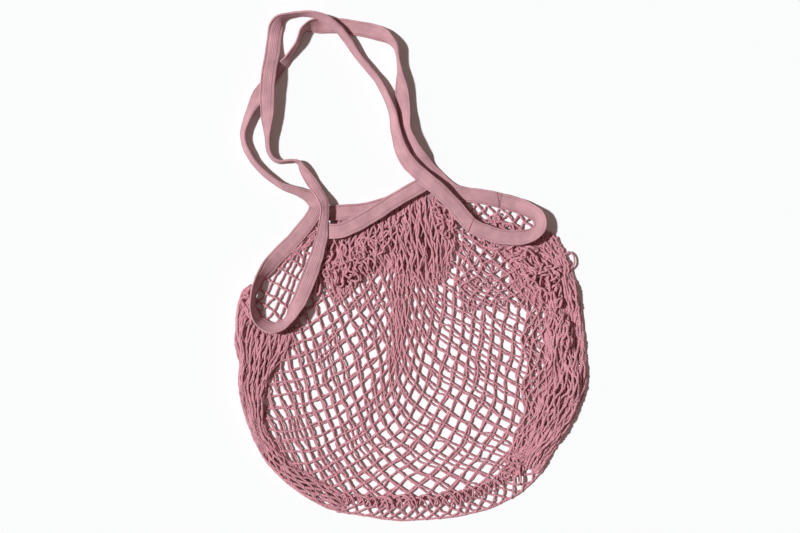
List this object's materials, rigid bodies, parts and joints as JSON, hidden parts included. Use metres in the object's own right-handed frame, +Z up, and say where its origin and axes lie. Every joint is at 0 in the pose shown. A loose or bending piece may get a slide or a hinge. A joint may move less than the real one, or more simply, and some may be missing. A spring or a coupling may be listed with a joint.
{
  "type": "mesh tote bag",
  "caption": "Pink cotton mesh tote bag lying flat, with a knotted net body, bound mouth edges and two long tape handles.",
  "frame": {"origin": "centre of the lying bag's bounding box, on the surface that it rests on", "axes": "+Y from the bottom of the bag to its handles, +Z up from the surface, +X to the right when seen from above"},
  "size_m": [0.4348, 0.6368, 0.0232],
  "materials": {
    "net_yarn": "matte",
    "cotton_tape": "matte"
  },
  "bodies": {
    "root": {"net_front": "net_yarn", "net_back": "net_yarn", "mouth_tape_front": "cotton_tape", "mouth_tape_back": "cotton_tape", "handle_tape": "cotton_tape"}
  },
  "joints": []
}
